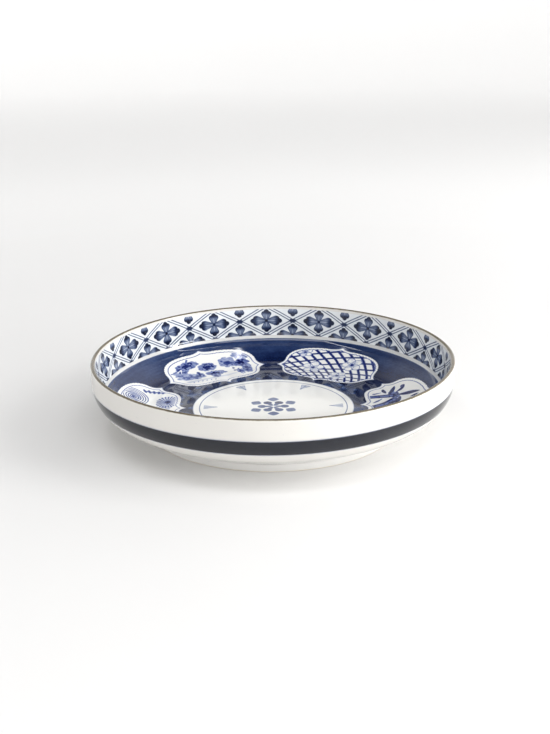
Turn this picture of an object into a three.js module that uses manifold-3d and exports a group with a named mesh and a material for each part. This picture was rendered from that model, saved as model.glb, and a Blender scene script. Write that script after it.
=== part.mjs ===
// Shallow round serving bowl in blue-and-white porcelain.
// Millimetres, +Z up, origin at the centre of the foot's resting plane.
// The white body is one turned solid on a foot ring. Every glazed colour field is a thin
// skin lying flush in a shallow step of the body, so each field has a node of its own.
import * as THREE from 'three';
import Module from 'manifold-3d';
import { mergeVertices } from 'three/addons/utils/BufferGeometryUtils.js';

// Driving dimensions
const RIM_RADIUS = 125;
const HEIGHT = 50;
const FOOT_HEIGHT = 6.5;
const FLOOR_HEIGHT = 11.6;
const LIP_WIDTH = 3.1;
const LIP_HEIGHT = 1.4;
const SIDES = 60;

// Outside: an upright wall that bends in and runs down a cone to the foot
const BEND_RADIUS = 24;
const BEND_HEIGHT = 38;
const UNDERSIDE_SLOPE = 25;
const BAND_TOP = 35.8;
const BAND_BOTTOM = 25.9;

// Inside: wall, tight corner, shallow cone, wide cove, flat floor
const CORNER_RADIUS_AT = 117.9;
const CORNER_HEIGHT = 24.2;
const CORNER_FILLET = 10;
const COVE_RADIUS_AT = 91;
const COVE_FILLET = 40;

// Foot ring
const FOOT_RADIUS = 88;
const FOOT_INNER_RADIUS = 82.5;
const FOOT_EDGE = 0.8;

// Colour fields, as distances along the inside line from the lip down
const SKIN = 0.6;
const FRIEZE_FROM = 1;
const FRIEZE_TO = 21.8;
const GROUND_FROM = 24.2;
const MEDALLION_RADIUS = 56.5;
const GAP = 0.3;
const GROUND_STEP = SKIN + GAP;

// Reserved panels in the blue ground
const PANEL_COUNT = 6;
const PANEL_TURN = 1;
const PANEL_OUTER_TIP = 29.6;
const PANEL_INNER_TIP = 83.5;
const PANEL_SIDE_TIP = 54;
const PANEL_HALF_ANGLE = 27;

const rad = THREE.MathUtils.degToRad;
const point = (r, z) => new THREE.Vector2(r, z);

// Points of an arc from one angle to another, in degrees
function arc(centre, radius, from, to, steps) {
  return Array.from({ length: steps + 1 }, (_, i) => {
    const angle = rad(from + ((to - from) * i) / steps);
    return point(centre.x + radius * Math.cos(angle), centre.y + radius * Math.sin(angle));
  });
}

// Points that round the corner b between the lines a-b and b-c
function fillet(a, b, c, radius, steps) {
  const inward = a.clone().sub(b).normalize();
  const onward = c.clone().sub(b).normalize();
  const half = Math.acos(inward.dot(onward)) / 2;
  const start = b.clone().addScaledVector(inward, radius / Math.tan(half));
  const end = b.clone().addScaledVector(onward, radius / Math.tan(half));
  const middle = inward.clone().add(onward).normalize();
  const centre = b.clone().addScaledVector(middle, radius / Math.sin(half));
  const first = THREE.MathUtils.radToDeg(start.clone().sub(centre).angle());
  const last = THREE.MathUtils.radToDeg(end.clone().sub(centre).angle());
  return arc(centre, radius, first, last, steps);
}

// The part of a line of points between two distances along it
function slice(line, from, to) {
  const kept = [];
  let travelled = 0;
  for (let i = 1; i < line.length; i += 1) {
    const step = line[i - 1].distanceTo(line[i]);
    const at = (distance) => line[i - 1].clone().lerp(line[i], (distance - travelled) / step);
    if (from >= travelled && from < travelled + step) kept.push(at(from));
    if (to > travelled && to <= travelled + step) kept.push(at(to));
    else if (travelled + step > from && travelled + step < to) kept.push(line[i].clone());
    travelled += step;
  }
  return kept;
}

// The same line moved sideways to its left
function offset(line, depth) {
  const normal = (a, b) => point(a.y - b.y, b.x - a.x).normalize();
  return line.map((p, i) => {
    const before = normal(line[Math.max(i - 1, 0)], line[Math.max(i, 1)]);
    const after = normal(line[Math.min(i, line.length - 2)], line[Math.min(i + 1, line.length - 1)]);
    const mitre = before.add(after).normalize();
    return p.clone().addScaledVector(mitre, depth / Math.max(mitre.dot(after), 0.5));
  });
}

// A turned solid; a profile that starts off the axis is closed on itself
function turned(profile) {
  const closed = profile[0].x > 0 ? [...profile, profile[0].clone()] : profile;
  return new THREE.LatheGeometry(closed, SIDES).rotateX(Math.PI / 2);
}

// Cutting tools: a closed geometry as a solid, and back
const wasm = await Module();
wasm.setup();

function toSolid(geometry) {
  const bare = geometry.clone();
  bare.deleteAttribute('normal');
  bare.deleteAttribute('uv');
  const merged = mergeVertices(bare, 1e-5);
  const vertProperties = new Float32Array(merged.attributes.position.array);
  const triVerts = new Uint32Array(merged.index.array);
  return new wasm.Manifold(new wasm.Mesh({ numProp: 3, vertProperties, triVerts }));
}

function toGeometry(solid) {
  const mesh = solid.getMesh();
  const geometry = new THREE.BufferGeometry();
  geometry.setAttribute('position', new THREE.BufferAttribute(mesh.vertProperties, 3));
  geometry.setIndex(new THREE.BufferAttribute(mesh.triVerts, 1));
  geometry.computeVertexNormals();
  return geometry;
}

const bowl = new THREE.Group();

function add(name, geometry, color, roughness) {
  const material = new THREE.MeshStandardMaterial({ color, roughness, metalness: 0 });
  const mesh = new THREE.Mesh(geometry, material);
  mesh.name = name;
  bowl.add(mesh);
}

// Outside line, from the foot up to the lip
const bendCentre = point(RIM_RADIUS - BEND_RADIUS, BEND_HEIGHT);
const bendAngleAt = (z) => THREE.MathUtils.radToDeg(Math.asin((z - BEND_HEIGHT) / BEND_RADIUS));
const underside = arc(bendCentre, BEND_RADIUS, UNDERSIDE_SLOPE - 90, bendAngleAt(BAND_BOTTOM), 4);
const bandLine = arc(bendCentre, BEND_RADIUS, bendAngleAt(BAND_BOTTOM), bendAngleAt(BAND_TOP), 3);
const upperBend = arc(bendCentre, BEND_RADIUS, bendAngleAt(BAND_TOP), 0, 1);
const footRun = (underside[0].y - FOOT_HEIGHT) / Math.tan(rad(UNDERSIDE_SLOPE));
const footJoin = point(underside[0].x - footRun, FOOT_HEIGHT);

// Inside line, from the lip down to the axis
const lipOuter = point(RIM_RADIUS, HEIGHT - LIP_HEIGHT);
const lipInner = point(RIM_RADIUS - LIP_WIDTH, HEIGHT - LIP_HEIGHT);
const corner = point(CORNER_RADIUS_AT, CORNER_HEIGHT);
const cove = point(COVE_RADIUS_AT, FLOOR_HEIGHT);
const centre = point(0, FLOOR_HEIGHT);
const insideLine = [
  lipInner,
  ...fillet(lipInner, corner, cove, CORNER_FILLET, 5),
  ...fillet(corner, cove, centre, COVE_FILLET, 4),
  centre,
];
const insideLength = insideLine.reduce((sum, p, i) => sum + (i ? p.distanceTo(insideLine[i - 1]) : 0), 0);
const medallionFrom = insideLength - MEDALLION_RADIUS;

const friezeLine = slice(insideLine, FRIEZE_FROM, FRIEZE_TO);
const groundLine = slice(insideLine, GROUND_FROM, medallionFrom - GAP);
const friezeStep = offset(friezeLine, SKIN);
const bandStep = offset(bandLine, SKIN);
const wellStep = offset(slice(insideLine, GROUND_FROM - GAP, insideLength), GROUND_STEP);
const wellEdge = slice(insideLine, GROUND_FROM - GAP, insideLength)[0];
wellStep[wellStep.length - 1].x = 0;
const stepHeight = wellStep[wellStep.length - 1].y;

add('bowl_body', turned([
  point(0, FOOT_HEIGHT),
  point(FOOT_INNER_RADIUS, FOOT_HEIGHT),
  footJoin,
  ...underside,
  ...bandStep,
  ...upperBend,
  lipOuter,
  lipInner,
  friezeLine[0],
  ...friezeStep,
  friezeLine[friezeLine.length - 1],
  wellEdge,
  ...wellStep,
]), 0xf1eeea, 0.12);

add('foot_ring', turned([
  point(FOOT_INNER_RADIUS, FOOT_HEIGHT),
  point(FOOT_INNER_RADIUS + FOOT_EDGE, FOOT_EDGE),
  point(FOOT_INNER_RADIUS + 2 * FOOT_EDGE, 0),
  point(FOOT_RADIUS - FOOT_EDGE, 0),
  point(FOOT_RADIUS, FOOT_EDGE),
  point(FOOT_RADIUS + FOOT_EDGE, FOOT_HEIGHT / 2),
  footJoin,
]), 0xe9e4da, 0.3);

add('lip_glaze_band', turned([
  lipInner,
  ...arc(point(lipOuter.x - LIP_HEIGHT, lipOuter.y), LIP_HEIGHT, 0, 90, 3),
  ...arc(point(lipInner.x + LIP_HEIGHT, lipInner.y), LIP_HEIGHT, 90, 150, 2),
]), 0x8f8a7e, 0.25);

add('outer_blue_band', turned([...bandLine, ...bandStep.slice().reverse()]), 0x35384f, 0.15);
add('inner_frieze', turned([...friezeLine, ...friezeStep.slice().reverse()]), 0x9fb0c2, 0.12);
add('centre_medallion', turned([
  point(0, stepHeight),
  point(MEDALLION_RADIUS, stepHeight),
  point(MEDALLION_RADIUS, FLOOR_HEIGHT),
  point(0, FLOOR_HEIGHT),
]), 0xebe8e3, 0.12);

// Half of a panel's outline from its outer tip to its inner tip: across is the angle from the
// panel's axis in degrees, along is the distance down the inside line.
function panelHalf(grow) {
  const half = PANEL_HALF_ANGLE + grow;
  const curve = new THREE.Path();
  curve.moveTo(0, PANEL_OUTER_TIP - grow);
  curve.quadraticCurveTo(1.5, 32.2 - grow, 5, 32.5 - grow);
  curve.bezierCurveTo(13, 32.4 - grow, 21, 34 - grow, 23 + grow, 46);
  curve.quadraticCurveTo(23.6 + grow, 51.5, half, PANEL_SIDE_TIP);
  curve.quadraticCurveTo(24.2 + grow, 56.5, 24 + grow, 61);
  curve.bezierCurveTo(23.6 + grow, 72, 20, 77 + grow, 6, 78 + grow);
  curve.quadraticCurveTo(2, 78.5 + grow, 0, PANEL_INNER_TIP + grow);
  return curve.getPoints(5);
}

const radiusAlong = (distance) => slice(insideLine, 0, distance).at(-1).x;

function panelPrism(axis, grow) {
  const half = panelHalf(grow);
  const other = half.slice(1, -1).reverse().map((p) => point(-p.x, p.y));
  const plan = [...half, ...other].map((p) => {
    const angle = rad(axis + p.x);
    return point(radiusAlong(p.y) * Math.cos(angle), radiusAlong(p.y) * Math.sin(angle));
  });
  const geometry = new THREE.ExtrudeGeometry(new THREE.Shape(plan), { depth: HEIGHT, bevelEnabled: false });
  return toSolid(geometry);
}

const groundUnder = offset(groundLine, SKIN);
let ground = toSolid(turned([...groundLine, ...groundUnder.slice().reverse()]));
const panels = [];
for (let i = 0; i < PANEL_COUNT; i += 1) {
  const axis = PANEL_TURN + (i * 360) / PANEL_COUNT;
  panels.push(ground.intersect(panelPrism(axis, 0)));
  ground = ground.subtract(panelPrism(axis, GAP));
}
add('well_ground', toGeometry(ground), 0x2b3a78, 0.12);
panels.forEach((panel, i) => add(`panel_${i + 1}`, toGeometry(panel), 0xdfe4ee, 0.12));

export default bowl;
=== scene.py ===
"""Looks of a shallow blue-and-white porcelain serving bowl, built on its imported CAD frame.

Every visible surface is turned or swept from the same inside and outside lines as the CAD part.
The cobalt painting is laid down per vertex as an amount of pigment ("ink"), worked out from
formulas and brush strokes, and the glaze materials turn that amount into colour.
"""

import math

import bpy
import numpy as np
from mathutils import Matrix, Vector


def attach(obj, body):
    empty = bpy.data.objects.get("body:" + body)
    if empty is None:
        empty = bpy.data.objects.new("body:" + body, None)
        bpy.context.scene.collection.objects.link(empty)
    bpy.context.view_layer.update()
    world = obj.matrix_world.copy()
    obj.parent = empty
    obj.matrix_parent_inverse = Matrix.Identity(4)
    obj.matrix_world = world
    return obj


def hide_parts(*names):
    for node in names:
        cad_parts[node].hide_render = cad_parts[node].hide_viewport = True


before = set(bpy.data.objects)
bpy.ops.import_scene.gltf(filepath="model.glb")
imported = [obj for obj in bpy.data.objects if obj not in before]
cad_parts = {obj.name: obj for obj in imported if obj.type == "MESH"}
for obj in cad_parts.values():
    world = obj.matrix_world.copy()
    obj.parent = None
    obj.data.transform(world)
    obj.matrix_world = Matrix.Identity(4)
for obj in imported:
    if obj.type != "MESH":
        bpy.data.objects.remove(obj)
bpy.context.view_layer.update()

MM = 0.001

# Driving dimensions of the CAD part, in millimetres
RIM_RADIUS = 125.0
HEIGHT = 50.0
FLOOR_HEIGHT = 11.6
CORNER = (117.9, 24.2)
CORNER_FILLET = 10.0
COVE_RADIUS_AT = 91.0
COVE_FILLET = 40.0
LIP_WIDTH = 3.1
LIP_HEIGHT = 1.4
BEND_RADIUS = 24.0
BEND_HEIGHT = 38.0
UNDERSIDE_SLOPE = math.radians(25)
FOOT_HEIGHT = 6.5
FOOT_RADIUS = 88.0
FOOT_INNER_RADIUS = 83.0
FOOT_EDGE = 0.9
FOOT_FROM = 79.0
FOOT_TO = 92.5
SKIN = 0.6
SKIN_BACK = 0.9 * SKIN
FRIEZE_FROM = 1.0
FRIEZE_TO = 21.8
GROUND_FROM = 24.2
MEDALLION_RADIUS = 56.5
BAND_BOTTOM = 25.9
BAND_TOP = 35.8

# Painted layout: six panels round the well, eighteen flowers round the frieze
PANEL_COUNT = 6
PANEL_TURN = math.radians(1)
PANEL_CENTRE = 54.0
PANEL_ARC_RADIUS = 90.5
FLOWER_COUNT = 18
FLOWER_TURN = math.radians(12.3)
FLOWER_HEIGHT = 10.3
PETAL_WIDTH = 7.4
DIAMOND_HALF_HEIGHT = 11.5
FRIEZE_RADIUS = 120.5
MEDALLION_LINE = 51.8

# Mesh fineness
TURN_COLUMNS = 720
FRIEZE_COLUMNS = 2520
BAND_COLUMNS = 1440
FRIEZE_STEP = 0.3
BAND_STEP = 0.3
PANEL_CELLS = 200
MEDALLION_CELLS = 320

# Left open at the middle of a turned face; the larger one only where another piece covers it
PINHOLE = 0.02
HIDDEN_PINHOLE = 0.5

# How fine the glaze's unevenness is, in blotches per metre
MOTTLE_SCALE = 520.0
BREATH_SCALE = 35.0
SPECK_SCALE = 900.0
GLOSS_SCALE = 120.0
BARE_EDGE_SCALE = 260.0
SLOW_WAVE_SCALE = 28.0
FINE_WAVE_SCALE = 800.0

# Colours of the studio
STUDIO_WHITE = (1.0, 0.995, 0.99)
FLOOR_TONES = ((0.83, 0.828, 0.825), (0.85, 0.848, 0.845))


# ---------------------------------------------------------------- shader nodes

def math_node(tree, operation, *values):
    """One sum of the kind named; each value may be a number or another node's output."""
    made = tree.nodes.new("ShaderNodeMath")
    made.operation = operation
    for socket, value in zip(made.inputs, values):
        if isinstance(value, (int, float)):
            socket.default_value = value
        else:
            tree.links.new(value, socket)
    return made.outputs[0]


def noise_node(tree, coords, scale, detail=2.0, rough=0.5):
    """Soft random values at the coordinates given."""
    made = tree.nodes.new("ShaderNodeTexNoise")
    made.inputs["Scale"].default_value = scale
    made.inputs["Detail"].default_value = detail
    made.inputs["Roughness"].default_value = rough
    tree.links.new(coords, made.inputs["Vector"])
    return made.outputs["Fac"]


def range_node(tree, value, start, end, at_start, at_end):
    """A number that eases from at_start to at_end while value goes from start to end."""
    made = tree.nodes.new("ShaderNodeMapRange")
    made.interpolation_type = "SMOOTHSTEP"
    made.inputs["From Min"].default_value = start
    made.inputs["From Max"].default_value = end
    made.inputs["To Min"].default_value = at_start
    made.inputs["To Max"].default_value = at_end
    tree.links.new(value, made.inputs["Value"])
    return made.outputs[0]


def mix_node(tree, factor, first, second):
    """A colour between first and second; first may be a colour or another node's output."""
    made = tree.nodes.new("ShaderNodeMix")
    made.data_type = "RGBA"
    tree.links.new(factor, made.inputs["Factor"])
    if isinstance(first, tuple):
        made.inputs["A"].default_value = (*first, 1)
    else:
        tree.links.new(first, made.inputs["A"])
    made.inputs["B"].default_value = (*second, 1)
    return made.outputs["Result"]


# ---------------------------------------------------------------- camera, light, floor

def aimed(eye, target):
    """The place of a camera or lamp at eye that looks at target."""
    eye, target = Vector(eye), Vector(target)
    turn = (target - eye).to_track_quat("-Z", "Y").to_matrix()
    return Matrix.Translation(eye) @ turn.to_4x4()


def make_camera():
    """The camera stands 0.83 m from the centre of the rim and looks 18 degrees down on it."""
    data = bpy.data.cameras.new("camera")
    data.sensor_width = 36.0
    data.lens = 58.86
    camera = bpy.data.objects.new("camera", data)
    bpy.context.collection.objects.link(camera)
    distance, elevation, roll = 0.8297, 0.318, 0.013
    rim_centre = Vector((0, 0, HEIGHT * MM))
    away = Vector((0, -math.cos(elevation), math.sin(elevation)))
    stand = aimed(rim_centre + away * distance, rim_centre)
    # The rim's centre sits slightly left of and above the middle of the frame
    aim = Vector((-0.0019, 0.0106, -1.0)).normalized()
    off_axis = Vector((0, 0, -1)).rotation_difference(aim).to_matrix().transposed()
    turn = Matrix.Rotation(-roll, 3, "Z") @ off_axis
    camera.matrix_world = stand @ turn.to_4x4()
    bpy.context.scene.camera = camera


def lamp(name, place, size, power, colour=(1, 1, 1)):
    """A flat, oblong lamp; its place is a matrix."""
    data = bpy.data.lights.new(name, "AREA")
    data.shape = "RECTANGLE"
    data.size, data.size_y = size
    data.energy = power
    data.color = colour
    made = bpy.data.objects.new(name, data)
    bpy.context.collection.objects.link(made)
    made.matrix_world = place


def tube_lamp(name, start, end, width=0.014, power=1.1):
    """A long thin lamp from start to end that faces the bowl."""
    start, end = Vector(start), Vector(end)
    along = (end - start).normalized()
    middle = (start + end) / 2
    behind = (middle - middle.dot(along) * along).normalized()
    turn = Matrix((along, behind.cross(along), behind)).transposed()
    lamp(name, Matrix.Translation(middle) @ turn.to_4x4(), ((end - start).length, width), power)


def make_sky():
    """Soft white light, stronger from the right, with a dark ceiling and a dark gap straight behind."""
    world = bpy.data.worlds.new("studio")
    bpy.context.scene.world = world
    world.use_nodes = True
    tree = world.node_tree
    background = tree.nodes["Background"]
    background.inputs["Color"].default_value = (*STUDIO_WHITE, 1)
    split = tree.nodes.new("ShaderNodeSeparateXYZ")
    tree.links.new(tree.nodes.new("ShaderNodeTexCoord").outputs["Generated"], split.inputs[0])
    ceiling = range_node(tree, split.outputs["Z"], 0.62, 0.80, at_start=0.95, at_end=0.10)
    sideways = math_node(tree, "ABSOLUTE", split.outputs["X"])
    beside_gap = range_node(tree, sideways, 0.10, 0.30, at_start=0.25, at_end=1.0)
    before_gap = range_node(tree, split.outputs["Y"], 0.2, 0.5, at_start=1.0, at_end=0.0)
    gap = math_node(tree, "MAXIMUM", beside_gap, before_gap)
    across = range_node(tree, split.outputs["X"], -0.7, 0.4, at_start=0.62, at_end=1.0)
    dimmed = math_node(tree, "MULTIPLY", gap, across)
    tree.links.new(math_node(tree, "MULTIPLY", ceiling, dimmed), background.inputs["Strength"])


def make_lights():
    """Soft boxes round the right and the front, one overhead, and two tubes that streak the glaze."""
    make_sky()
    bpy.context.scene.view_settings.view_transform = "Standard"
    bowl = (0, 0, 0.02)
    wide_box = (0.8, 0.6)
    lamp("key", aimed((1.15, -0.30, 0.80), bowl), wide_box, power=7.6, colour=(1.0, 0.99, 0.975))
    lamp("key_low", aimed((1.25, -0.45, 0.24), bowl), (0.50, 0.34), power=7.4)
    lamp("overhead", aimed((0.0, -0.45, 1.6), bowl), (1.6, 0.45), power=8.6)
    lamp("front", aimed((0.1, -1.1, 1.15), bowl), (0.9, 0.5), power=2.0)
    lamp("front_low", aimed((0.1, -1.5, 0.36), bowl), (0.9, 0.4), power=1.8)
    lamp("front_right", aimed((0.9, -1.0, 0.7), bowl), wide_box, power=1.0)
    lamp("back_right", aimed((1.1, 0.8, 0.5), bowl), wide_box, power=2.0)
    tube_lamp("left_tube", (1.08, 0.11, 1.3), (0.13, 0.67, 1.3))
    tube_lamp("right_tube", (-0.53, -0.19, 1.3), (-0.34, 0.85, 1.3))


def floor_material():
    """Matt off-white with painted light: it glows a little, and more so further from the bowl."""
    material = bpy.data.materials.new("floor")
    material.use_nodes = True
    tree = material.node_tree
    shader = tree.nodes["Principled BSDF"]
    coords = tree.nodes.new("ShaderNodeTexCoord").outputs["Object"]
    grain = noise_node(tree, coords, 3.0)
    tree.links.new(mix_node(tree, grain, *FLOOR_TONES), shader.inputs["Base Color"])
    shader.inputs["Roughness"].default_value = 0.6
    level = tree.nodes.new("ShaderNodeVectorMath")
    level.operation = "MULTIPLY"
    level.inputs[1].default_value = (1, 1, 0)
    tree.links.new(coords, level.inputs[0])
    away = tree.nodes.new("ShaderNodeVectorMath")
    away.operation = "LENGTH"
    tree.links.new(level.outputs[0], away.inputs[0])
    # Painted light: the floor glows, least near the bowl and more further away from it
    near_painted_light = range_node(tree, away.outputs["Value"], 0.18, 1.0, at_start=0.0, at_end=0.22)
    far_painted_light = range_node(tree, away.outputs["Value"], 1.1, 2.4, at_start=0.0, at_end=0.10)
    shader.inputs["Emission Color"].default_value = (*STUDIO_WHITE, 1)
    tree.links.new(math_node(tree, "ADD", near_painted_light, far_painted_light), shader.inputs["Emission Strength"])
    return material


def make_floor():
    """A plain pale floor that sweeps up into a wall all round."""
    flat, sweep, rise = 2.2, 0.5, 0.55
    sides = 96
    turns = np.linspace(0, math.pi / 2, 16)
    bend = [(flat + sweep * math.sin(t), sweep * (1 - math.cos(t))) for t in turns]
    profile = [(0.0, 0.0), (flat * 0.5, 0.0)] + bend + [(flat + sweep, sweep + rise)]
    verts = [(r * math.cos(a), r * math.sin(a), z) for r, z in profile for a in full_turn(sides)]
    mesh = bpy.data.meshes.new("floor")
    mesh.from_pydata(verts, [], grid_quads(len(profile), sides, True).tolist())
    mesh.shade_smooth()
    mesh.materials.append(floor_material())
    floor = bpy.data.objects.new("floor", mesh)
    bpy.context.collection.objects.link(floor)


# ---------------------------------------------------------------- lines to turn

class Line:
    """A line of straight runs joined by round corners, read off by the distance along it."""

    def __init__(self, corners, radii):
        points = [np.array(c, float) for c in corners]
        self.parts = []
        at = points[0]
        for i, radius in enumerate(radii, start=1):
            back = points[i - 1] - points[i]
            on = points[i + 1] - points[i]
            back, on = back / np.hypot(*back), on / np.hypot(*on)
            half = math.acos(float(back @ on)) / 2
            start = points[i] + back * radius / math.tan(half)
            end = points[i] + on * radius / math.tan(half)
            middle = (back + on) / np.hypot(*(back + on))
            centre = points[i] + middle * radius / math.sin(half)
            self.parts.append(("run", at, start))
            first = math.atan2(*(start - centre)[::-1])
            last = math.atan2(*(end - centre)[::-1])
            last += 2 * math.pi * round((first - last) / (2 * math.pi))
            self.parts.append(("arc", centre, radius, first, last))
            at = end
        self.parts.append(("run", at, points[-1]))
        self.lengths = [self.part_length(p) for p in self.parts]
        self.starts = np.concatenate([[0], np.cumsum(self.lengths)])
        self.length = float(self.starts[-1])

    @staticmethod
    def part_length(part):
        if part[0] == "run":
            return float(np.hypot(*(part[2] - part[1])))
        return abs(part[4] - part[3]) * part[2]

    def at(self, distance):
        """Points (radius, height) and right-hand normals at the distances given."""
        distance = np.asarray(distance, float)
        which = np.clip(np.searchsorted(self.starts, distance, "right") - 1, 0, len(self.parts) - 1)
        point = np.zeros(distance.shape + (2,))
        way = np.zeros_like(point)
        for k, part in enumerate(self.parts):
            here = which == k
            share = ((distance[here] - self.starts[k]) / self.lengths[k])[..., None]
            if part[0] == "run":
                point[here] = part[1] + (part[2] - part[1]) * share
                way[here] = (part[2] - part[1]) / self.lengths[k]
            else:
                angle = part[3] + (part[4] - part[3]) * share
                out = np.concatenate([np.cos(angle), np.sin(angle)], -1)
                point[here] = part[1] + part[2] * out
                way[here] = np.sign(part[4] - part[3]) * np.stack([-out[..., 1], out[..., 0]], -1)
        return point, np.stack([way[..., 1], -way[..., 0]], -1)

    def where(self, axis, value, beyond):
        """Distance at which the line reaches a radius (axis 0) or height (axis 1)."""
        along = np.linspace(beyond, self.length, 4000)
        return float(np.interp(value, self.at(along)[0][:, axis], along))


LIP_OUTER = (RIM_RADIUS, HEIGHT - LIP_HEIGHT)
LIP_INNER = (RIM_RADIUS - LIP_WIDTH, HEIGHT - LIP_HEIGHT)
INSIDE = Line(
    [LIP_INNER, CORNER, (COVE_RADIUS_AT, FLOOR_HEIGHT), (0.0, FLOOR_HEIGHT)],
    [CORNER_FILLET, COVE_FILLET],
)
BEND_CORNER = BEND_HEIGHT - BEND_RADIUS * math.tan((math.pi / 2 - UNDERSIDE_SLOPE) / 2)
FOOT_ROOT = (89.2, BEND_CORNER - (RIM_RADIUS - 89.2) * math.tan(UNDERSIDE_SLOPE))
OUTSIDE = Line(
    [(0.0, FOOT_HEIGHT), (82.2, FOOT_HEIGHT), (FOOT_INNER_RADIUS, 0.0), (FOOT_RADIUS, 0.0), FOOT_ROOT,
     (RIM_RADIUS, BEND_CORNER), LIP_OUTER],
    [2.2, FOOT_EDGE, FOOT_EDGE, 2.5, BEND_RADIUS],
)
GROUND_TO = INSIDE.length - MEDALLION_RADIUS
FOOT_START = OUTSIDE.where(0, FOOT_FROM, 0.0)
FOOT_END = OUTSIDE.where(0, FOOT_TO, FOOT_START + 15)
BAND_START = OUTSIDE.where(1, BAND_BOTTOM, FOOT_END)
BAND_END = OUTSIDE.where(1, BAND_TOP, FOOT_END)


# ---------------------------------------------------------------- meshes

def full_turn(columns):
    return np.arange(columns) * 2 * math.pi / columns


def grid_quads(rows, columns, wrap):
    """Quads of a grid of rows by columns, closed round its columns if wrap is set."""
    r, c = np.meshgrid(np.arange(rows - 1), np.arange(columns if wrap else columns - 1), indexing="ij")
    right = (c + 1) % columns
    corners = [r * columns + c, (r + 1) * columns + c, (r + 1) * columns + right, r * columns + right]
    return np.stack(corners, -1).reshape(-1, 4)


def spin(flat, angle):
    """Turns (radius, height) pairs about the bowl's axis."""
    radius, height, angle = np.broadcast_arrays(flat[..., 0], flat[..., 1], angle)
    return np.stack([radius * np.cos(angle), radius * np.sin(angle), height], -1)


class Shell:
    """A mesh gathered from grids of points that carry their own normals and ink."""

    def __init__(self):
        self.verts, self.normals, self.inks, self.quads = [], [], [], []
        self.count = 0

    def grid(self, points, normals, ink=0.0, wrap=True):
        rows, columns = points.shape[:2]
        quads = grid_quads(rows, columns, wrap)
        flat, normals = points.reshape(-1, 3), normals.reshape(-1, 3)
        middle = quads[len(quads) // 2]
        a, b, d = (flat[middle[k]] for k in (0, 1, 3))
        if np.cross(b - a, d - a) @ normals[middle[0]] < 0:
            quads = quads[:, ::-1]
        self.quads.append(quads + self.count)
        self.verts.append(flat)
        self.normals.append(normals)
        self.inks.append(np.broadcast_to(ink, (rows, columns)).ravel())
        self.count += rows * columns

    def turned(self, line, along, paint=None, columns=TURN_COLUMNS, depth=0.0, flip=False):
        """A strip of the line, turned: paint(angle, distance) gives its ink."""
        angle, distance = np.meshgrid(full_turn(columns), np.asarray(along, float))
        point, normal = line.at(distance)
        point = spin(point - normal * depth, angle)
        normal = spin(-normal if flip else normal, angle)
        self.grid(point, normal, paint(angle, distance) if paint else 0.0)

    def strip(self, ends):
        """A plain turned strip between two (radius, height) points, with its right-hand normal."""
        ends = np.array(ends, float)
        way = (ends[1] - ends[0]) / np.hypot(*(ends[1] - ends[0]))
        angle = np.broadcast_to(full_turn(TURN_COLUMNS), (2, TURN_COLUMNS))
        normal = np.broadcast_to(np.array([way[1], -way[0]]), (2, TURN_COLUMNS, 2))
        self.grid(spin(ends[:, None, :], angle), spin(normal, angle))

    def side(self, line, at, depth, order):
        """The side of a step in the line; order -1 turns it to face the other way."""
        point, normal = line.at(at)
        self.strip([point, point - normal * depth][::order])

    def recess(self, line, start, end, rows):
        """The step in the body that a skin lies in."""
        self.side(line, start, SKIN, 1)
        self.side(line, end, SKIN, -1)
        self.turned(line, np.linspace(start, end, rows), depth=SKIN)

    def skin(self, line, start, end, step, columns, paint):
        """A closed skin that lies flush in its recess."""
        rows = int(round((end - start) / step)) + 1
        self.turned(line, np.linspace(start, end, rows), paint, columns)
        self.side(line, start, SKIN_BACK, -1)
        self.side(line, end, SKIN_BACK, 1)
        self.turned(line, np.linspace(start, end, 12), depth=SKIN_BACK, flip=True)

    def build(self, name, material, node):
        """Makes the piece that shows in place of the CAD node."""
        verts, quads = np.concatenate(self.verts), np.concatenate(self.quads)
        mesh = bpy.data.meshes.new(name)
        mesh.vertices.add(len(verts))
        mesh.vertices.foreach_set("co", (verts * MM).astype(np.float32).ravel())
        mesh.loops.add(quads.size)
        mesh.loops.foreach_set("vertex_index", quads.astype(np.int32).ravel())
        mesh.polygons.add(len(quads))
        mesh.polygons.foreach_set("loop_start", np.arange(0, quads.size, 4, dtype=np.int32))
        mesh.update(calc_edges=True)
        mesh.polygons.foreach_set("use_smooth", np.ones(len(quads), bool))
        mesh.normals_split_custom_set_from_vertices(np.concatenate(self.normals).astype(np.float32))
        layer = mesh.attributes.new("ink", "FLOAT", "POINT")
        layer.data.foreach_set("value", np.concatenate(self.inks).astype(np.float32))
        mesh.materials.append(material)
        piece = bpy.data.objects.new(name, mesh)
        bpy.context.collection.objects.link(piece)
        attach(piece, "root")
        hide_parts(node)


def square_to_disc(cells):
    """A square grid bent into a disc: share of the way out and bearing of each point."""
    side = np.linspace(-1, 1, cells + 1)
    a, b = np.meshgrid(side, side)
    wide = np.abs(a) >= np.abs(b)
    long, short = np.where(wide, a, b), np.where(wide, b, a)
    ratio = np.divide(short, long, out=np.zeros_like(short), where=long != 0)
    bearing = np.where(wide, ratio, 2 - ratio) * math.pi / 4
    return np.abs(long), bearing + np.where(long < 0, math.pi, 0)


# ---------------------------------------------------------------- painting tools

def smooth(low, high, value):
    """Eases from 0 to 1 while value goes from low to high."""
    t = np.clip((value - low) / (high - low), 0, 1)
    return t * t * (3 - 2 * t)


def inside(distance, edge=0.3):
    """How far a point is covered by a shape, from its signed distance in millimetres."""
    return np.clip(0.5 - distance / edge, 0, 1)


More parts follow.
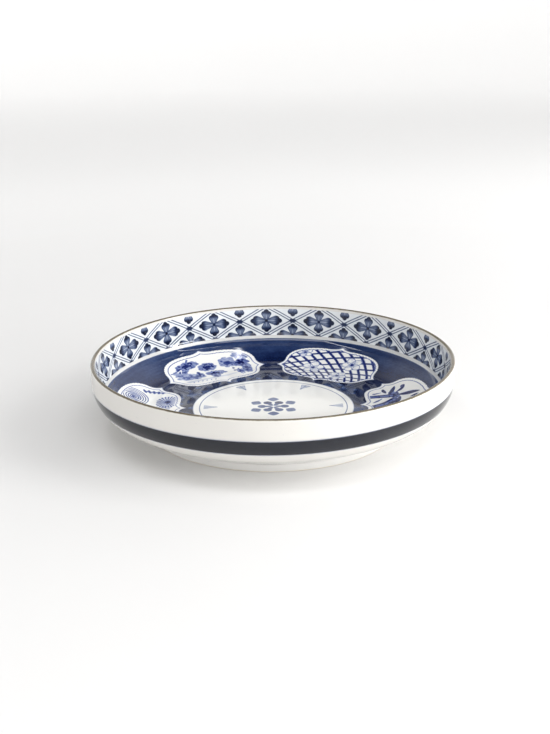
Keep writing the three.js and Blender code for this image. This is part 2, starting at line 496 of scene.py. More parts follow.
def cloud(x, y, size, seed, octaves=3):
    """Smooth random values from 0 to 1 with blotches of about the size given."""
    total, weight = 0.0, 0.0
    for octave in range(octaves):
        table = np.random.default_rng(seed + octave).random((64, 64))
        u, v = x / size * 2 ** octave + 7.3, y / size * 2 ** octave + 3.1
        iu, iv = np.floor(u).astype(int), np.floor(v).astype(int)
        fu, fv = u - iu, v - iv
        fu, fv = fu * fu * (3 - 2 * fu), fv * fv * (3 - 2 * fv)
        a, b = table[iu % 64, iv % 64], table[(iu + 1) % 64, iv % 64]
        c, d = table[iu % 64, (iv + 1) % 64], table[(iu + 1) % 64, (iv + 1) % 64]
        share = 0.5 ** octave
        total = total + share * ((a * (1 - fu) + b * fu) * (1 - fv) + (c * (1 - fu) + d * fu) * fv)
        weight += share
    return total / weight


def on_rim(angle, radius=RIM_RADIUS):
    """Seamless places to look up random values at, for paint that runs round the bowl."""
    return np.cos(angle) * radius, np.sin(angle) * radius


def ellipse(x, y, cx, cy, rx, ry, turn=0.0):
    """Roughly the signed distance to an ellipse."""
    c, s = math.cos(turn), math.sin(turn)
    u, v = (x - cx) * c + (y - cy) * s, -(x - cx) * s + (y - cy) * c
    return (np.hypot(u / rx, v / ry) - 1) * min(rx, ry)


def stroke(x, y, points, widths):
    """Signed distance to a brush stroke through points, with a width at each of them."""
    best = np.full(np.shape(x), 1e3)
    for (ax, ay), (bx, by), wa, wb in zip(points[:-1], points[1:], widths[:-1], widths[1:]):
        dx, dy = bx - ax, by - ay
        t = np.clip(((x - ax) * dx + (y - ay) * dy) / (dx * dx + dy * dy), 0, 1)
        gap = np.hypot(x - ax - t * dx, y - ay - t * dy)
        best = np.minimum(best, gap - (wa + (wb - wa) * t) / 2)
    return best


def lay(ink, distance, amount, edge=0.35):
    """Lays pigment over what is there: the stronger of the two shows."""
    return np.maximum(ink, inside(distance, edge) * amount)


def clear(ink, distance, edge=0.35):
    """Leaves a shape in reserve."""
    return ink * (1 - inside(distance, edge))


# ---------------------------------------------------------------- the frieze

def petal_ink(along, across, length, width):
    """Pigment of one scalloped petal: pale and veined at the heart, dark at its rim and tip."""
    share = along / length
    wedge = np.abs(across) - 0.07 * width - 0.40 * width * np.clip(share / 0.52, 0, 1) ** 0.8
    outlines = [
        np.maximum(wedge, np.maximum(share - 0.68, -share) * length),
        ellipse(along, across, 0.61 * length, 0.25 * width, 0.21 * length, 0.26 * width),
        ellipse(along, across, 0.61 * length, -0.25 * width, 0.21 * length, 0.26 * width),
        ellipse(along, across, 0.81 * length, 0, 0.18 * length, 0.24 * width),
    ]
    distance = np.minimum.reduce(outlines)
    depth = 0.85 + 1.05 * smooth(0.45, 0.85, share) + 0.75 * smooth(-0.7, 0.0, distance)
    vein = smooth(0.02, 0.07, np.abs(across) / width)
    depth = depth * (1 - 0.55 * (1 - vein) * (1 - smooth(0.42, 0.60, share)))
    ray = 0.5 + 0.5 * np.cos(np.arctan2(across, np.maximum(along, 0.01)) * 28)
    depth = depth * (1 - 0.4 * ray * smooth(0.15, 0.35, share) * (1 - smooth(0.5, 0.75, share)))
    return inside(distance, 0.35) * depth


def frieze_ink(angle, down):
    """Diaper of double lines with a four-petalled flower in each diamond."""
    half_width = math.pi * FRIEZE_RADIUS / FLOWER_COUNT
    x = (angle - FLOWER_TURN) * FRIEZE_RADIUS
    y = down - FLOWER_HEIGHT
    wander = 0.7
    sx, sy = on_rim(angle, FRIEZE_RADIUS)
    x = x + wander * (cloud(sx, sy, 14.0, 11) - 0.5)
    y = y + wander * (cloud(sx + y, sy, 14.0, 17) - 0.5)
    a, b = x / half_width + y / DIAMOND_HALF_HEIGHT, x / half_width - y / DIAMOND_HALF_HEIGHT
    ia, ib = 2 * np.round(a / 2), 2 * np.round(b / 2)
    u = x - (ia + ib) / 2 * half_width
    v = y - (ia - ib) / 2 * DIAMOND_HALF_HEIGHT
    scale = 1 / math.hypot(1 / half_width, 1 / DIAMOND_HALF_HEIGHT)
    to_a, to_b = (1 - np.abs(a - ia)) * scale, (1 - np.abs(b - ib)) * scale
    nearest, other = np.minimum(to_a, to_b), np.maximum(to_a, to_b)
    ink = lay(np.zeros_like(x), np.abs(nearest - 0.9) - 0.22, 1.6, 0.3)
    ink = lay(ink, nearest + other - 2.0, 1.5, 0.5)
    lean = 0.14 * (cloud(ia * 7.3, ib * 5.1, 1.0, 23) - 0.5)
    u, v = u + lean * v, v - lean * u
    whole = (ia - ib) / 2 * DIAMOND_HALF_HEIGHT + FLOWER_HEIGHT > 0
    v = v + 1.0 * (1 - whole)
    # The cut-off flowers at the top show only their upright petals
    petals = [(u, v, 12.6, whole), (-u, v, 12.6, whole), (v, u, 9.0, 1), (-v, u, 9.0, 1)]
    for along, across, length, shown in petals:
        ink = np.maximum(ink, petal_ink(along, across, length, PETAL_WIDTH) * shown)
    ink = lay(ink, np.hypot(u, v) - 1.2, 1.9, 0.5)
    return ink * (0.80 + 0.56 * cloud(sx, sy + 1.7 * y, 5.0, 31))


# ---------------------------------------------------------------- the panels
# In a panel, u runs to the right and v outwards, as seen from the middle of the bowl

def curve(*points, steps=40):
    """Points of a Bezier curve through its control points, by de Casteljau."""
    t = np.linspace(0, 1, steps)[:, None]
    level = [np.array(p, float) for p in points]
    while len(level) > 1:
        level = [(1 - t) * a + t * b for a, b in zip(level[:-1], level[1:])]
    return level[0]


def panel_outline():
    """The outline of the CAD panel: degrees from its axis, distance down the inside line."""
    half = np.concatenate([
        curve((0, 29.6), (1.5, 32.2), (5, 32.5)),
        curve((5, 32.5), (13, 32.4), (21, 34), (23, 46)),
        curve((23, 46), (23.6, 51.5), (27, 54)),
        curve((27, 54), (24.2, 56.5), (24, 61)),
        curve((24, 61), (23.6, 72), (20, 77), (6, 78)),
        curve((6, 78), (2, 78.5), (0, 83.5)),
    ])
    whole = np.concatenate([half, half[::-1] * (-1, 1)])
    return np.radians(whole[:, 0]) * PANEL_ARC_RADIUS, PANEL_CENTRE - whole[:, 1]


OUTLINE_U, OUTLINE_V = panel_outline()


def outline_reach(bearing):
    """Distance from the panel's centre to its outline in each direction."""
    at = np.arctan2(OUTLINE_V, OUTLINE_U)
    order = np.argsort(at)
    reach = np.hypot(OUTLINE_U, OUTLINE_V)[order]
    wrapped = np.mod(bearing + math.pi, 2 * math.pi) - math.pi
    return np.interp(wrapped, at[order], reach, period=2 * math.pi)


def outline_gap(u, v):
    """Distance to the nearest point of the outline."""
    best = np.full(np.shape(u), 1e3)
    for a, b in zip(OUTLINE_U[::3], OUTLINE_V[::3]):
        best = np.minimum(best, np.hypot(u - a, v - b))
    return best


def ring_of(cx, cy, radius, count, turn=0.0):
    """Points spaced evenly round a circle, each with its bearing."""
    for k in range(count):
        a = turn + k * 2 * math.pi / count
        yield cx + radius * math.cos(a), cy + radius * math.sin(a), a


def blossom(ink, u, v, cx, cy, size, turn):
    """A five-petalled blossom left white on the lattice, with a blue heart."""
    petals = list(ring_of(cx, cy, 0.56 * size, 5, turn))
    for px, py, a in petals:
        ink = clear(ink, ellipse(u, v, px, py, 0.48 * size, 0.40 * size, a) - 0.3)
    for px, py, a in petals:
        petal = ellipse(u, v, px, py, 0.48 * size, 0.40 * size, a)
        ink = lay(ink, np.abs(petal) - 0.12, 1.2)
        ink = np.maximum(ink, inside(petal, 0.5) * 0.12 * smooth(0.3, 0.7, cloud(u, v, 2.4, 53)))
        tip = (cx + 0.45 * size * math.cos(a), cy + 0.45 * size * math.sin(a))
        ink = lay(ink, stroke(u, v, [(cx, cy), tip], [0.6, 0.2]), 0.6)
    return lay(ink, np.hypot(u - cx, v - cy) - 0.17 * size, 1.7, 0.9)


def lattice_scene(u, v):
    """Cobalt lattice over white, with blossoms lying on it."""
    along, slant = np.array([6.1, 2.0]), np.array([5.4, -5.5])
    area = abs(along[0] * slant[1] - along[1] * slant[0])
    du = u + 2.1 + 0.5 * (cloud(u, v, 9, 41) - 0.5)
    dv = v - 8.3 + 0.5 * (cloud(u, v, 9, 44) - 0.5)
    p = (du * -slant[1] + dv * slant[0]) / area
    q = (du * along[1] - dv * along[0]) / area
    ink = np.zeros_like(u)
    for place, spacing, width in ((p, area / np.hypot(*slant), 1.55), (q, area / np.hypot(*along), 1.3)):
        gap = (0.5 - np.abs(place - np.round(place))) * spacing
        ink = np.maximum(ink, inside(gap - width / 2, 0.4) * (1.25 + 0.8 * cloud(u, v, 3, 47)))
        ink = lay(ink, np.abs(gap - width / 2) - 0.12, 1.5)
    for cx, cy, size, turn in ((-13.5, -2.5, 8.2, 0.3), (14.0, 8.3, 7.4, 0.9), (13.0, -11.0, 7.8, 0.1)):
        ink = blossom(ink, u, v, cx, cy, size, turn)
    return blossom(ink, u, v, -23.5, 15.5, 5.0, 0.6)


def wash(ink, u, v, cx, cy, wide, high, turn, amount, seed):
    """A wet, lobed wash: pale and ragged at its edge, with brushed darker streaks inside."""
    rag = 1.5 * (cloud(u, v, 1.7, seed) - 0.5)
    lobes = [ellipse(u, v, cx, cy, 0.75 * wide, 0.75 * high, turn)]
    for k, (px, py, a) in enumerate(ring_of(0, 0, 1, 7, 0.4 * seed)):
        x = cx + 0.62 * (wide * px * math.cos(turn) - high * py * math.sin(turn))
        y = cy + 0.62 * (wide * px * math.sin(turn) + high * py * math.cos(turn))
        lobes.append(ellipse(u, v, x, y, (0.34 + 0.03 * (k % 3)) * wide, 0.42 * high, turn))
    body = np.minimum.reduce(lobes)
    streak = cloud((u - v) * 0.5, (u + v) * 1.6, 2.2, seed + 3)
    pale = 0.30 + 0.45 * streak + 0.30 * smooth(-0.9, 0.0, body)
    ink = np.maximum(ink, inside(body + 0.9 * rag, 0.6) * amount * pale)
    core = body + 0.30 * min(wide, high) + 3.0 * rag
    return np.maximum(ink, inside(core, 1.1) * amount * (0.9 + 1.3 * streak))


def pine_scene(u, v):
    """A shore with three stands of pine in cobalt wash."""
    ink = np.zeros_like(u)
    # Each pad: centre, half width, half height, turn, amount of pigment
    pads = [
        (-15.5, 11.0, 10.0, 4.2, 0.1, 1.1), (-24.0, 6.0, 7.5, 3.8, 0.2, 0.85),
        (-21.0, -2.5, 12.5, 5.2, -0.35, 0.66), (-13.0, -3.6, 4.2, 3.6, 0.6, 1.0),
        (-1.5, 5.0, 7.8, 5.0, 0.0, 1.1), (0.5, -5.0, 9.0, 4.0, -0.1, 1.1),
        (-2.0, -10.5, 4.2, 3.8, 0.2, 0.7), (15.0, 6.5, 6.6, 6.4, 0.1, 0.8),
        (25.5, 13.0, 6.2, 3.8, -0.3, 1.0), (25.0, 4.5, 6.6, 4.6, 0.3, 1.3),
        (28.0, -4.5, 4.4, 9.6, 0.0, 0.95), (21.5, -9.0, 3.2, 5.4, 0.1, 0.8),
    ]
    for k, (cx, cy, wide, high, turn, amount) in enumerate(pads):
        ink = wash(ink, u, v, cx, cy, wide, high, turn, amount, 60 + 9 * k)
    for cx, cy, radius in ((-12.0, 0.5, 1.3), (17.3, -2.0, 0.9), (17.2, -6.0, 0.9), (20.3, -10.5, 0.8)):
        ink = lay(ink, np.hypot(u - cx, v - cy) - radius, 1.6, 0.7)
    trunks = [
        ([(-26, 7.2), (-22, 8.6), (-24, 5.0)], [0.9, 1.3, 0.8]), ([(0, -1.6), (3.6, -0.4)], [1.2, 0.5]),
        ([(21.5, 8.0), (24.5, 11.0)], [1.3, 0.8]), ([(22.0, -4.5), (24.5, -1.0)], [1.4, 0.7]),
        ([(-10, 4.5), (-14, 1.0)], [1.6, 1.0]), ([(-27.5, -6.5), (-22.5, -8.0)], [0.9, 0.4]),
    ]
    for points, widths in trunks:
        ink = clear(ink, stroke(u, v, points, widths), 0.5)
    ink = lay(ink, stroke(u, v, [(-37.5, 8.5), (-30, 7.6), (-23, 8.8)], [1.1, 0.7, 0.5]), 1.0, 0.5)
    ink = lay(ink, stroke(u, v, [(-15, 13), (-12, 17)], [0.9, 1.3]), 0.9, 0.6)
    shore = stroke(u, v, [(-30, -9), (-12, -13), (6, -14), (16, -12)], [2.4, 1.6, 2.2, 1.0])
    ink = np.maximum(ink, inside(shore, 2.4) * 0.2)
    for k in range(6):
        reed = [(-28 + 4 * k, -12.5 - k), (-26.4 + 4 * k, -11.2 - k)]
        ink = lay(ink, stroke(u, v, reed, [0.9, 0.4]), 0.55, 0.5)
    return ink


def wheel_scene(u, v):
    """A ringed wheel over a feathery bloom, with small dark leaves at the side."""
    ink = np.zeros_like(u)
    cx, cy = 13.0, 10.5
    r = np.hypot(u - cx, (v - cy) * 1.05)
    ink = np.maximum(ink, inside(r - 6.4, 1.6) * 0.25 * (0.1 + 1.0 * cloud(u, v, 3.0, 121)))
    for k in range(6):
        ink = lay(ink, np.abs(r - (2.2 + 1.85 * k)) - 0.24, 2.2 - 0.12 * k, 0.3)
    ink = lay(ink, r - 1.2, 1.5, 0.6)
    cx, cy = 14.5, -14.5
    r, a = np.hypot((u - cx) * 0.62, v - cy), np.arctan2(v - cy, (u - cx) * 0.62)
    reach = 8.2 + 2.2 * (cloud(u, v, 3.0, 131) - 0.5)
    comb = 1 - 0.9 * smooth(0.35, 0.75, np.abs(np.sin(a * 11))) * smooth(1.2, 2.6, r)
    ink = np.maximum(ink, inside(r - reach, 0.8) * comb * (1.15 + 1.35 * (1 - smooth(0.4, 5.0, r))))
    for k in range(12):
        x = -30 + 2.9 * k
        y = -12 - 0.5 * math.sin(k * 1.3)
        blade = stroke(u, v, [(x, y - 5.5), (x + 3.4, y)], [0.6, 1.5])
        ink = lay(ink, blade, 1.15 + 0.3 * math.sin(k), 0.5)
    for k in range(5):
        x, y = 27.5 + 1.6 * k, 6.5 - 3.0 * k
        ink = lay(ink, ellipse(u, v, x, y, 2.3, 0.95, 0.9 - 0.2 * k), 1.15, 0.5)
        ink = lay(ink, ellipse(u, v, x + 1.0, y - 1.5, 2.0, 0.8, -0.6), 0.8, 0.5)
    stem = [(-32, 2), (-20, 6), (-10, 9), (-2, 14)]
    ink = lay(ink, stroke(u, v, stem, [1.1, 0.8, 0.7, 0.4]), 1.0, 0.4)
    for k, (x, y) in enumerate([(-27, 4), (-21, 6), (-15, 8), (-9, 10)]):
        for side in (-1, 1):
            leaf = ellipse(u, v, x + 1.2, y + 2.7 * side, 3.0, 1.2, 0.9 * side)
            ink = lay(ink, leaf, 0.8 + 0.1 * k, 0.5)
    return ink


def bamboo_scene(u, v):
    """Banded bamboo stems that rise from the foot of the panel into dark, pointed leaves."""
    ink = np.zeros_like(u)
    stems = [
        ([(-18, -21), (-17.5, -4)], 6.2),
        ([(7, -21), (-1, -11), (-9, -4)], 6.0),
        ([(22, -18), (15, -2)], 4.6),
    ]
    for points, width in stems:
        d = stroke(u, v, points, [width] * len(points))
        core = 0.70 + 1.15 * smooth(-0.45 * width, -0.05 * width, d)
        joint = 1 + 0.5 * (np.abs(np.mod(v + 2.0, 7.0) - 3.5) < 0.5)
        ink = np.maximum(ink, inside(d, 0.5) * core * joint * (0.7 + 0.6 * cloud(u * 2.5, v, 3.0, 147)))
        ink = lay(ink, np.abs(d + 0.2) - 0.28, 1.7)
    shoots = [
        [(-12.5, -12), (-7, -16.5), (-3.5, -19.5)],
        [(-26, -9), (-24.5, -15)],
        [(11, -8), (13, -16)],
    ]
    for points in shoots:
        ink = lay(ink, stroke(u, v, points, [0.5, 1.9, 0.9][:len(points)]), 1.4, 0.5)
    clumps = [(-18, -1.5, 7.5, 3.6, 0.0), (-4.5, -6, 6.0, 3.2, -0.5), (13, 1.5, 6.0, 3.0, 0.3)]
    for cx, cy, wide, high, turn in clumps:
        ink = wash(ink, u, v, cx, cy, wide, high, turn, 1.2, 151 + int(cx))
    # Each leaf: the points it bends through, and its width
    leaves = [
        ((-16.5, 1.0), (-13.0, 9.0), (-8.5, 15.5), 3.0),
        ((-12.0, 1.0), (-6.0, -1.0), (0.0, -5.5), 2.0),
        ((-21.0, -4.5), (-26.0, 0.0), (-31.0, 4.0), 2.0),
        ((-22.0, 2.0), (-23.0, 7.0), (-26.5, 10.0), 1.6),
        ((-26.5, 10.0), (-28.0, 8.0), (-25.5, 6.8), 0.9),
        ((-24.0, -6.0), (-28.0, -6.6), (-32.0, -5.0), 1.8),
        ((-6.5, 8.0), (-5.8, 11.0), (-6.0, 13.5), 1.4),
        ((9.0, 4.0), (8.0, 12.0), (11.0, 19.0), 2.8),
        ((15.0, 4.0), (22.0, 8.0), (30.0, 9.5), 2.6),
        ((14.0, 0.0), (24.0, -1.0), (33.0, -5.0), 2.4),
        ((2.0, -3.0), (4.0, 5.0), (2.0, 12.0), 1.8),
        ((24.0, -8.0), (28.0, -12.0), (27.0, -17.0), 1.8),
    ]
    for a, b, c, width in leaves:
        points = curve(a, b, c, steps=9)
        widths = [0.3 + 1.35 * width * math.sin(math.pi * t) ** 0.8 for t in np.linspace(0.06, 1, 9)]
        ink = lay(ink, stroke(u, v, points, widths), 1.9, 0.45)
    return ink


SCENES = [bamboo_scene, lattice_scene, pine_scene, wheel_scene, bamboo_scene, lattice_scene]
LINE_INSET = 2.9


def panel_ink(number, u, v):
    """Pigment inside one panel: a white border, a fine line in it, and the scene."""
    gap = outline_gap(u, v)
    framed = SCENES[number] is not lattice_scene
    border = LINE_INSET + 0.9 if framed else 2.1
    ink = SCENES[number](u, v) * smooth(border - 0.2, border + 0.5, gap)
    line = LINE_INSET if framed else border
    ink = lay(ink, np.abs(gap - line) - 0.20, 1.3, 0.4)
    return np.maximum(ink, 0.5 * (1 - smooth(0.0, 0.7, gap)))


def panel_axis(number):
    return PANEL_TURN + number * 2 * math.pi / PANEL_COUNT


def on_well(axis, u, v):
    """Flat points and normals of the well at (u, v) from a panel's centre, and their bearings."""
    point, normal = INSIDE.at(PANEL_CENTRE - v)
    return point, normal, axis - u / PANEL_ARC_RADIUS


def make_panel(number, material):
    axis = panel_axis(number)
    share, bearing = square_to_disc(PANEL_CELLS)
    reach = outline_reach(bearing) * share
    u, v = reach * np.cos(bearing), reach * np.sin(bearing)
    shell = Shell()
    point, normal, angle = on_well(axis, u, v)
    shell.grid(spin(point, angle), spin(normal, angle), panel_ink(number, u, v), wrap=False)
    u, v = panel_edge()
    close_side(shell, axis, u, v, facing=1)
    share = np.array([1.0, 0.7, 0.35, PINHOLE])[:, None]
    point, normal, angle = on_well(axis, share * u, share * v)
    shell.grid(spin(point - normal * SKIN_BACK, angle), spin(-normal, angle))
    shell.build(f"panel_{number + 1}_glaze", material, f"panel_{number + 1}")


def panel_edge():
    bearing = full_turn(4 * PANEL_CELLS)
    reach = outline_reach(bearing)
    return reach * np.cos(bearing), reach * np.sin(bearing)


def close_side(shell, axis, u, v, facing):
    """The hidden side of a skin with the edge (u, v): facing is 1 away from the panel's centre, else -1."""
    point, normal, angle = on_well(axis, u, v)
    wall = np.stack([spin(point, angle), spin(point - normal * SKIN_BACK, angle)])
    c, s = np.cos(angle), np.sin(angle)
    out = np.stack([c * v + s * u, s * v - c * u, 0 * u], -1)
    out = out / np.linalg.norm(out, axis=-1, keepdims=True) * facing
    shell.grid(wall, np.stack([out, out]))


# ---------------------------------------------------------------- ground, medallion, bands

def ground_ink(angle, down):
    """Cobalt ground: a broad brushed wash that darkens inwards and breaks into leafy scrolls."""
    radius = INSIDE.at(down)[0][..., 0]
    x, y = on_rim(angle, radius)
    turned = np.mod(angle, 2 * math.pi) * PANEL_ARC_RADIUS
    fade = smooth(0, 12, turned) * smooth(0, 12, 2 * math.pi * PANEL_ARC_RADIUS - turned)
    brush = (cloud(turned * 0.07, down, 1.5, 201) - 0.5) * fade
    blot = cloud(x, y, 11.0, 211) - 0.5
    ink = 1.45 + 0.60 * smooth(34, 50, down + 5 * blot) + 0.40 * brush + 0.40 * blot
    swirl = 14 * cloud(x, y, 17.0, 231)
    scroll = np.sin(radius * 0.55 + swirl) * np.cos(angle * 21 + swirl * 0.7)
    leaf = smooth(0.40, 0.60, cloud(x + swirl, y - swirl, 4.4, 221))
    leafy = 1.35 + 1.00 * leaf + 0.35 * scroll
    inner = smooth(66, 76, down + 6 * blot)
    ink = ink * (1 - inner) + inner * leafy
    return np.clip(ink * smooth(-0.5, 0.8, down - GROUND_FROM), 0.12, 2.9)


def sector_edge():
    """Where the rays from a panel's centre leave its sector of the ground."""
    bearing = full_turn(4 * PANEL_CELLS)
    half = math.pi / PANEL_COUNT * PANEL_ARC_RADIUS
    top, bottom = PANEL_CENTRE - GROUND_FROM, PANEL_CENTRE - GROUND_TO
    c, s = np.cos(bearing), np.sin(bearing)
    sideways = half / np.maximum(np.abs(c), 1e-9)
    upright = np.where(s > 0, top, -bottom) / np.maximum(np.abs(s), 1e-9)
    reach = np.minimum(sideways, upright)
    u, v = reach * c, reach * s
    for cu, cv in ((half, top), (-half, top), (half, bottom), (-half, bottom)):
        nearest = np.argmin(np.hypot(u - cu, v - cv))
        u[nearest], v[nearest] = cu, cv
    return u, v


def make_ground(material):
    shell = Shell()
    inner, outer = np.array(panel_edge()), np.array(sector_edge())
    rings = 31
    below = slice(0, rings, 3)
    share = np.linspace(0, 1, rings)[:, None]
    u, v = (inner[k] + (outer[k] - inner[k]) * share for k in (0, 1))
    for number in range(PANEL_COUNT):
        axis = panel_axis(number)
        point, normal, angle = on_well(axis, u, v)
        shell.grid(spin(point, angle), spin(normal, angle), ground_ink(angle, PANEL_CENTRE - v))
        back, facing = point - normal * SKIN_BACK, -normal
        shell.grid(spin(back[below], angle[below]), spin(facing[below], angle[below]))
        close_side(shell, axis, *inner, facing=-1)
    shell.side(INSIDE, GROUND_FROM, SKIN_BACK, -1)
    shell.side(INSIDE, GROUND_TO, SKIN_BACK, 1)
    shell.build("ground_glaze", material, "well_ground")


def medallion_ink(x, y):
    """Border line, six small fans and a six-fold flower of lozenges."""
    r, a = np.hypot(x, y), np.arctan2(y, x)
    ink = lay(np.zeros_like(r), np.abs(r - MEDALLION_LINE) - 0.25, 1.05, 0.4)
    ink = np.maximum(ink, 0.4 * smooth(MEDALLION_RADIUS - 0.8, MEDALLION_RADIUS, r))
    sixth = math.pi / 3
    turn = a - np.round(a / sixth) * sixth
    u, v = r * np.cos(turn), r * np.sin(turn)
    half = 0.25 + 3.4 * smooth(39, 50, u)
    fan = np.maximum(np.abs(v) - half, np.abs(u - 44.0) - 4.6)
    rib = 1 - smooth(0.12, 0.45, np.abs(np.sin(v / half * 3.1)))
    ink = np.maximum(ink, inside(fan, 0.4) * (0.26 + 0.5 * rib + 0.8 * (1 - smooth(39.5, 43, u))))
    ink = lay(ink, np.abs(fan) - 0.12, 0.7)
    blot = cloud(x, y, 4.0, 251)
    egg = np.minimum(ellipse(u, v, 8.0, 0, 2.9, 2.9), ellipse(u, v, 5.0, 0, 3.6, 1.5))
    ink = np.maximum(ink, inside(egg, 0.5) * (0.72 + 0.5 * blot + 0.7 * smooth(3, 9, y)))
    turn = a - sixth / 2 - np.round((a - sixth / 2) / sixth) * sixth
    u, v = r * np.cos(turn), r * np.sin(turn)
    lozenge = ((np.abs(u - 14.0) / 3.7) ** 1.35 + (np.abs(v) / 3.9) ** 1.35 - 1) * 2.4
    ink = np.maximum(ink, inside(lozenge, 0.6) * (0.62 + 0.5 * blot))
    return ink


def make_medallion(material):
    share, bearing = square_to_disc(MEDALLION_CELLS)
    radius = share * MEDALLION_RADIUS
    point, normal = INSIDE.at(INSIDE.length - radius)
    shell = Shell()
    ink = medallion_ink(radius * np.cos(bearing), radius * np.sin(bearing))
    shell.grid(spin(point, bearing), spin(normal, bearing), ink, wrap=False)
    low = FLOOR_HEIGHT - SKIN_BACK
    shell.strip([(MEDALLION_RADIUS, low), (MEDALLION_RADIUS, FLOOR_HEIGHT)])
    shell.strip([(HIDDEN_PINHOLE, low), (MEDALLION_RADIUS, low)])
    shell.build("medallion_glaze", material, "centre_medallion")


def band_ink(angle, along):
    """One turn of a loaded brush: even, with streaks along it and soft edges."""
    x, y = on_rim(angle)
    streak = cloud(along, x * 0.05 + y * 0.04, 0.9, 301)
    blot = cloud(x, y, 16.0, 311)
    edge = np.minimum(along - BAND_START, BAND_END - along)
    wobble = 0.25 * (cloud(x, y, 7.0, 321) - 0.5)
    return (1.85 + 0.40 * streak + 0.25 * blot) * (0.35 + 0.65 * smooth(0.0, 0.7, edge + wobble))


def ring_ink(angle, along):
    """The plain ring between frieze and ground, faintly blue."""
    return 0.07 + 0 * along


def body_ink(angle, along):
    """White, with a breath of cobalt that bled out of the band."""
    gap = np.maximum(np.maximum(BAND_START - along, along - BAND_END), 0)
    return 0.30 * np.exp(-gap / 0.35)


def lip_ink(angle, over):
    """A thin wash of iron over the crest of the lip; over runs from 0 outside to pi inside."""
    x, y = on_rim(angle)
    ragged = 0.2 * (cloud(x, y, 2.2, 341) - 0.5)
    covered = smooth(0.45, 0.95, over + ragged) * smooth(0.35, 0.85, math.pi - over + ragged)
    return covered * (2.3 + 0.6 * cloud(x, y, 6.0, 331) + 0.3 * (cloud(x, y, 1.6, 351) - 0.5))


# ---------------------------------------------------------------- glazes

def ink_colour(tree, coords, white_under_glaze, pigment):
    """The white under the glaze, lightened on some pieces as painted light, seen through the pigment, which
    pools, breathes and leaves specks.
    """
    ink = tree.nodes.new("ShaderNodeAttribute")
    ink.attribute_name = "ink"
    mottle = noise_node(tree, coords, MOTTLE_SCALE, 3.0, 0.65)
    pooled = math_node(tree, "MULTIPLY_ADD", mottle, 0.5, 0.75)
    amount = math_node(tree, "MULTIPLY", ink.outputs["Fac"], pooled)
    breath = math_node(tree, "MULTIPLY", noise_node(tree, coords, BREATH_SCALE), 0.016)
    amount = math_node(tree, "ADD", amount, breath)
    speck = math_node(tree, "GREATER_THAN", noise_node(tree, coords, SPECK_SCALE, 0.0), 0.83)
    amount = math_node(tree, "MULTIPLY_ADD", speck, 0.06, amount)
    colour = tree.nodes.new("ShaderNodeCombineColor")
    for channel in range(3):
        through = math_node(tree, "POWER", pigment[channel], amount)
        tree.links.new(math_node(tree, "MULTIPLY", through, white_under_glaze[channel]), colour.inputs[channel])
    return colour.outputs[0]


def bare_edge(tree, coords):
    """1 on the lowest, unglazed millimetre of the foot, with a ragged upper edge, and 0 above it."""
    place = tree.nodes.new("ShaderNodeSeparateXYZ")
    tree.links.new(coords, place.inputs[0])
    uneven = noise_node(tree, coords, BARE_EDGE_SCALE)
    ragged = math_node(tree, "MULTIPLY_ADD", uneven, 0.0006, 0.0006)
    return math_node(tree, "LESS_THAN", place.outputs["Z"], ragged)


def glaze(name, white_under_glaze, pigment, roughness=0.06, wave=0.25, bare_foot=False):
    """Gloss glaze over a white, lightened on some pieces as painted light; pigment is what one full layer
    of colour lets through.
    """
    material = bpy.data.materials.new(name)
    material.use_nodes = True
    tree = material.node_tree
    shader = tree.nodes["Principled BSDF"]
    coords = tree.nodes.new("ShaderNodeTexCoord").outputs["Object"]
    surface = ink_colour(tree, coords, white_under_glaze, pigment)
    uneven = noise_node(tree, coords, GLOSS_SCALE)
    gloss = math_node(tree, "MULTIPLY_ADD", uneven, 0.5 * roughness, 0.75 * roughness)
    if bare_foot:
        bare = bare_edge(tree, coords)
        surface = mix_node(tree, bare, surface, BARE_CLAY)
        gloss = math_node(tree, "MULTIPLY_ADD", bare, 0.6, gloss)
    tree.links.new(surface, shader.inputs["Base Color"])
    tree.links.new(gloss, shader.inputs["Roughness"])
    shader.inputs["IOR"].default_value = GLAZE_IOR
    slow_waves = noise_node(tree, coords, SLOW_WAVE_SCALE, 1.0)
    fine_waves = noise_node(tree, coords, FINE_WAVE_SCALE)
    height = math_node(tree, "MULTIPLY_ADD", fine_waves, 0.01, slow_waves)
    bump = tree.nodes.new("ShaderNodeBump")
    bump.inputs["Strength"].default_value = wave
    bump.inputs["Distance"].default_value = WAVE_DEPTH
    tree.links.new(height, bump.inputs["Height"])
    tree.links.new(bump.outputs[0], shader.inputs["Normal"])
    return material


GLAZE_IOR = 1.52
WAVE_DEPTH = 0.0005

# The porcelain's white under the glaze, and its bare clay at the foot edge; the foot, the frieze, the
# panels and the medallion get lighter copies of the body's white as painted light, the frieze's also bluer
WHITE = (0.73, 0.712, 0.675)
FOOT_WHITE_PAINTED_LIGHT = (0.80, 0.79, 0.765)
FRIEZE_WHITE_PAINTED_LIGHT = (0.76, 0.785, 0.80)
INNER_WHITE_PAINTED_LIGHT = (0.88, 0.875, 0.84)
BARE_CLAY = (0.74, 0.69, 0.61)

# Pigments: what one full layer lets through
COBALT = (0.075, 0.125, 0.28)
VIOLET_BLUE = (0.075, 0.11, 0.33)
SLATE = (0.085, 0.115, 0.21)
IRON = (0.50, 0.47, 0.41)
INDIGO = (0.10, 0.115, 0.165)
BLUE_GREY = (0.10, 0.135, 0.28)


# ---------------------------------------------------------------- the bowl

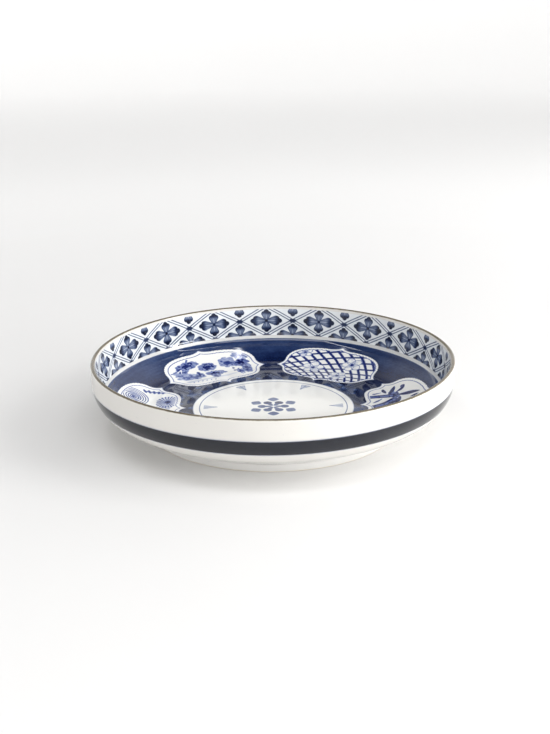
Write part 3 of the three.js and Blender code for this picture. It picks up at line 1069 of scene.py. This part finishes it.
def make_body(material):
    shell = Shell()
    shell.turned(INSIDE, [0, FRIEZE_FROM])
    shell.recess(INSIDE, FRIEZE_FROM, FRIEZE_TO, 6)
    shell.turned(INSIDE, np.linspace(FRIEZE_TO, GROUND_FROM, 7), ring_ink)
    shell.recess(INSIDE, GROUND_FROM, INSIDE.length - HIDDEN_PINHOLE, 40)
    shell.strip([LIP_OUTER, LIP_INNER])
    # Rows lie closer together near the band, where its blue bleeds into the white
    near = np.concatenate([np.arange(0, 2.01, 0.2), [3, 4.5]])
    above = np.concatenate([BAND_END + near, np.linspace(BAND_END + 6, OUTSIDE.length, 8)])
    below = np.concatenate([np.linspace(FOOT_END, BAND_START - 6, 30), (BAND_START - near)[::-1]])
    shell.turned(OUTSIDE, above, body_ink)
    shell.turned(OUTSIDE, below, body_ink)
    shell.recess(OUTSIDE, BAND_START, BAND_END, 8)
    shell.strip(OUTSIDE.at(np.array([FOOT_START, FOOT_END]))[0])
    shell.turned(OUTSIDE, np.linspace(PINHOLE, FOOT_START, 21))
    shell.build("porcelain_body", material, "bowl_body")


def make_foot(material):
    shell = Shell()
    shell.turned(OUTSIDE, np.linspace(FOOT_START, FOOT_END, 90))
    shell.strip(OUTSIDE.at(np.array([FOOT_END, FOOT_START]))[0])
    shell.build("turned_foot", material, "foot_ring")


def make_lip(material):
    """The rounded lip, half an ellipse in section."""
    shell = Shell()
    half_width = LIP_WIDTH / 2
    over = np.linspace(0, math.pi, 25)
    radius = RIM_RADIUS - half_width + half_width * np.cos(over)
    height = HEIGHT - LIP_HEIGHT + LIP_HEIGHT * np.sin(over)
    section = np.stack([radius, height], -1)
    normal = np.stack([np.cos(over) / half_width, np.sin(over) / LIP_HEIGHT], -1)
    normal = normal / np.linalg.norm(normal, axis=-1, keepdims=True)
    angle, distance = np.meshgrid(full_turn(BAND_COLUMNS), over)
    ink = lip_ink(angle, distance)
    shell.grid(spin(section[:, None, :], angle), spin(normal[:, None, :], angle), ink)
    shell.strip([LIP_INNER, LIP_OUTER])
    shell.build("lip_glaze", material, "lip_glaze_band")


def make_frieze(material):
    shell = Shell()
    shell.skin(INSIDE, FRIEZE_FROM, FRIEZE_TO, FRIEZE_STEP, FRIEZE_COLUMNS, frieze_ink)
    shell.build("frieze_glaze", material, "inner_frieze")


def make_band(material):
    shell = Shell()
    shell.skin(OUTSIDE, BAND_START, BAND_END, BAND_STEP, BAND_COLUMNS, band_ink)
    shell.build("band_glaze", material, "outer_blue_band")


def make_bowl():
    # Painted light: the foot, frieze, panels and medallion are given lighter whites than the body
    make_body(glaze("white_porcelain", WHITE, SLATE))
    make_foot(glaze("foot_porcelain", FOOT_WHITE_PAINTED_LIGHT, SLATE, bare_foot=True))
    make_lip(glaze("lip_iron_glaze", WHITE, IRON, roughness=0.12))
    make_frieze(glaze("frieze_painting", FRIEZE_WHITE_PAINTED_LIGHT, SLATE))
    make_band(glaze("cobalt_band", WHITE, INDIGO))
    make_ground(glaze("cobalt_ground", WHITE, COBALT, wave=0.28))
    panel_glaze = glaze("panel_painting", INNER_WHITE_PAINTED_LIGHT, VIOLET_BLUE)
    for number in range(PANEL_COUNT):
        make_panel(number, panel_glaze)
    make_medallion(glaze("medallion_painting", INNER_WHITE_PAINTED_LIGHT, BLUE_GREY))


make_camera()
make_floor()
make_lights()
make_bowl()
